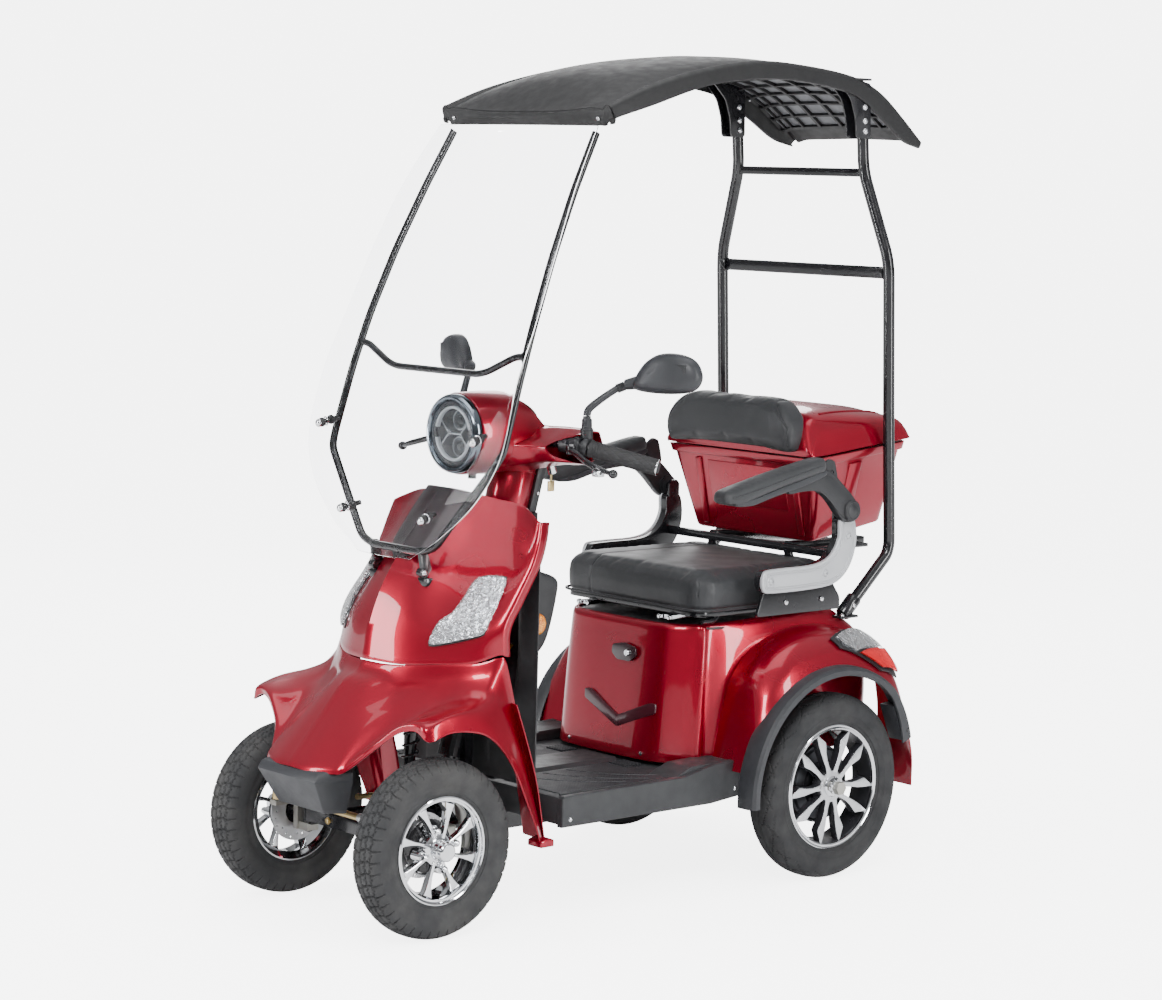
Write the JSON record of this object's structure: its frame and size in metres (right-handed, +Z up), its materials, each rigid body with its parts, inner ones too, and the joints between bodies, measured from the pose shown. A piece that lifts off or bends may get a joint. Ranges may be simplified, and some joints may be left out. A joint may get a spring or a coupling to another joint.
{
  "type": "mobility scooter",
  "caption": "Four-wheel electric mobility scooter with a roof, a windscreen, a sprung front axle, a padded seat with folding armrests and a rear trunk.",
  "frame": {"origin": "on the ground, under the middle of the overall length and width", "axes": "+Z up, the front faces -Y, +X is the rider's left"},
  "size_m": [0.8138, 1.5801, 1.7618],
  "materials": {
    "candy_red_lacquer": "high gloss metallic lacquer",
    "black_powder_coat": "semi-gloss powder coat",
    "black_moulded_plastic": "fine grained",
    "grey_moulded_plastic": "satin, fine grained",
    "roof_plastic": "matt, fine grained",
    "clear_acrylic": "clear, polished",
    "clear_lens": "clear faceted lens",
    "red_lens": "translucent red lens",
    "tyre_rubber": "matt, treaded",
    "chrome": "polished",
    "machined_dark_alloy": "machined face with dark pockets",
    "bare_steel": "machined",
    "zinc_plate": "yellow zinc plated",
    "black_leatherette": "soft, fine grained",
    "grip_rubber": "matt, diamond pattern",
    "headlamp_chrome": "polished reflector behind a clear lens"
  },
  "bodies": {
    "chassis": {"main_frame": "black_powder_coat", "floor_pan": "black_moulded_plastic", "front_shield": "candy_red_lacquer", "front_mudguard": "candy_red_lacquer", "inner_shield": "black_moulded_plastic", "front_bumper": "grey_moulded_plastic", "front_indicator_left": "clear_lens", "front_indicator_right": "clear_lens", "rear_body_shell": "candy_red_lacquer", "seat_base_front": "candy_red_lacquer", "fender_flare_left": "grey_moulded_plastic", "fender_flare_right": "grey_moulded_plastic", "tail_light_left": "red_lens", "tail_light_right": "red_lens", "battery_pack": "black_moulded_plastic", "rear_axle_case": "bare_steel", "rear_roll_frame": "black_powder_coat", "roof_panel": "roof_plastic", "windscreen": "clear_acrylic", "windscreen_frame": "black_powder_coat", "seat_rails": "chrome", "front_shock_body_left": "black_powder_coat", "front_shock_body_right": "black_powder_coat", "front_spring_left": "black_powder_coat", "front_spring_right": "black_powder_coat"},
    "front_axle": {"front_axle_beam": "black_powder_coat", "front_shock_rod_left": "bare_steel", "front_shock_rod_right": "bare_steel"},
    "knuckle_left": {"front_knuckle_left": "bare_steel"},
    "front_wheel_left": {"front_tyre_left": "tyre_rubber", "front_rim_left": "chrome"},
    "rear_wheel_left": {"rear_tyre_left": "tyre_rubber", "rear_rim_left": "machined_dark_alloy"},
    "lever_left": {"brake_lever_left": "black_powder_coat"},
    "mirror_arm_left": {"mirror_stem_left": "black_moulded_plastic"},
    "mirror_glass_left": {"mirror_head_left": "black_moulded_plastic"},
    "arm_left": {"armrest_left": "black_moulded_plastic"},
    "knuckle_right": {"front_knuckle_right": "bare_steel"},
    "front_wheel_right": {"front_tyre_right": "tyre_rubber", "front_rim_right": "chrome"},
    "rear_wheel_right": {"rear_tyre_right": "tyre_rubber", "rear_rim_right": "machined_dark_alloy"},
    "lever_right": {"brake_lever_right": "black_powder_coat"},
    "mirror_arm_right": {"mirror_stem_right": "black_moulded_plastic"},
    "mirror_glass_right": {"mirror_head_right": "black_moulded_plastic"},
    "arm_right": {"armrest_right": "black_moulded_plastic"},
    "tie_link": {"tie_rod": "zinc_plate"},
    "drag_link_body": {"drag_link": "zinc_plate"},
    "handlebar": {"steering_column": "black_powder_coat", "handlebar_cover": "candy_red_lacquer", "headlamp": "headlamp_chrome", "grip_left": "grip_rubber"},
    "throttle": {"throttle_grip": "grip_rubber"},
    "seat": {"seat_frame": "black_powder_coat", "seat_cushion": "black_leatherette", "trunk_box": "candy_red_lacquer"},
    "lid": {"trunk_lid": "candy_red_lacquer", "backrest_pad": "black_leatherette"}
  },
  "joints": [
    {"name": "front_suspension", "type": "hinge", "parent": "chassis", "child": "front_axle", "pos_m": [0, -0.37, 0.185], "axis": [-1, 0, 0], "range_deg": [-3, 6], "stiffness_Nm_per_rad": 2400, "springref_deg": -2.86, "deforming": ["front_spring_left", "front_spring_right"]},
    {"name": "steering", "type": "hinge", "parent": "chassis", "child": "handlebar", "pos_m": [0, -0.215, 0.9], "axis": [0, 0.2588, 0.9659], "range_deg": [-35, 35]},
    {"name": "kingpin_left", "type": "hinge", "parent": "front_axle", "child": "knuckle_left", "pos_m": [0.165, -0.61, 0.18], "axis": [0, 0, 1], "range_deg": [-28, 28]},
    {"name": "kingpin_right", "type": "hinge", "parent": "front_axle", "child": "knuckle_right", "pos_m": [-0.165, -0.61, 0.18], "axis": [0, 0, 1], "range_deg": [-28, 28]},
    {"name": "tie_rod_pivot", "type": "hinge", "parent": "knuckle_left", "child": "tie_link", "pos_m": [0.165, -0.69, 0.225], "axis": [0, 0, 1], "range_deg": [-28, 28]},
    {"name": "drag_link_pivot", "type": "hinge", "parent": "handlebar", "child": "drag_link_body", "pos_m": [0, -0.45938, 0.23525], "axis": [0, 0.2588, 0.9659], "range_deg": [-35, 35]},
    {"name": "front_wheel_spin_left", "type": "hinge", "parent": "knuckle_left", "child": "front_wheel_left", "pos_m": [0.24, -0.61, 0.18], "axis": [1, 0, 0], "continuous": true},
    {"name": "rear_wheel_spin_left", "type": "hinge", "parent": "chassis", "child": "rear_wheel_left", "pos_m": [0.32, 0.41, 0.202], "axis": [1, 0, 0], "continuous": true},
    {"name": "front_wheel_spin_right", "type": "hinge", "parent": "knuckle_right", "child": "front_wheel_right", "pos_m": [-0.24, -0.61, 0.18], "axis": [1, 0, 0], "continuous": true},
    {"name": "rear_wheel_spin_right", "type": "hinge", "parent": "chassis", "child": "rear_wheel_right", "pos_m": [-0.32, 0.41, 0.202], "axis": [1, 0, 0], "continuous": true},
    {"name": "brake_lever_pivot_left", "type": "hinge", "parent": "handlebar", "child": "lever_left", "pos_m": [0.196, -0.2335, 0.945], "axis": [0, 0, 1], "range_deg": [0, 16], "stiffness_Nm_per_rad": 2, "springref_deg": -2.86},
    {"name": "brake_lever_pivot_right", "type": "hinge", "parent": "handlebar", "child": "lever_right", "pos_m": [-0.196, -0.2335, 0.945], "axis": [0, 0, -1], "range_deg": [0, 16], "stiffness_Nm_per_rad": 2, "springref_deg": -2.86},
    {"name": "throttle_twist", "type": "hinge", "parent": "handlebar", "child": "throttle", "pos_m": [-0.272, -0.16085, 0.93335], "axis": [-0.8237, 0.5234, -0.218], "range_deg": [0, 60], "stiffness_Nm_per_rad": 0.3, "springref_deg": -5.73},
    {"name": "mirror_swivel_left", "type": "hinge", "parent": "handlebar", "child": "mirror_arm_left", "pos_m": [0.2, -0.196, 0.985], "axis": [0, 0, 1], "range_deg": [-25, 25]},
    {"name": "mirror_tilt_left", "type": "hinge", "parent": "mirror_arm_left", "child": "mirror_glass_left", "pos_m": [0.25, -0.134, 1.083], "axis": [1, 0, 0], "range_deg": [-10, 10]},
    {"name": "mirror_swivel_right", "type": "hinge", "parent": "handlebar", "child": "mirror_arm_right", "pos_m": [-0.2, -0.196, 0.985], "axis": [0, 0, 1], "range_deg": [-25, 25]},
    {"name": "mirror_tilt_right", "type": "hinge", "parent": "mirror_arm_right", "child": "mirror_glass_right", "pos_m": [-0.25, -0.134, 1.083], "axis": [1, 0, 0], "range_deg": [-10, 10]},
    {"name": "seat_slide", "type": "slide", "parent": "chassis", "child": "seat", "axis": [0, -1, 0], "range_m": [-0.02, 0.06]},
    {"name": "armrest_flip_left", "type": "hinge", "parent": "seat", "child": "arm_left", "pos_m": [0.28, 0.49, 0.793], "axis": [-1, 0, 0], "range_deg": [0, 80]},
    {"name": "armrest_flip_right", "type": "hinge", "parent": "seat", "child": "arm_right", "pos_m": [-0.28, 0.49, 0.793], "axis": [-1, 0, 0], "range_deg": [0, 80]},
    {"name": "trunk_lid_hinge", "type": "hinge", "parent": "seat", "child": "lid", "pos_m": [0, 0.425, 0.9], "axis": [1, 0, 0], "range_deg": [0, 70]}
  ],
  "couplings": [
    {"joint": "kingpin_left", "follows": "steering", "ratio": 0.8},
    {"joint": "kingpin_right", "follows": "steering", "ratio": 0.8},
    {"joint": "tie_rod_pivot", "follows": "steering", "ratio": -0.8},
    {"joint": "drag_link_pivot", "follows": "steering", "ratio": -1}
  ]
}
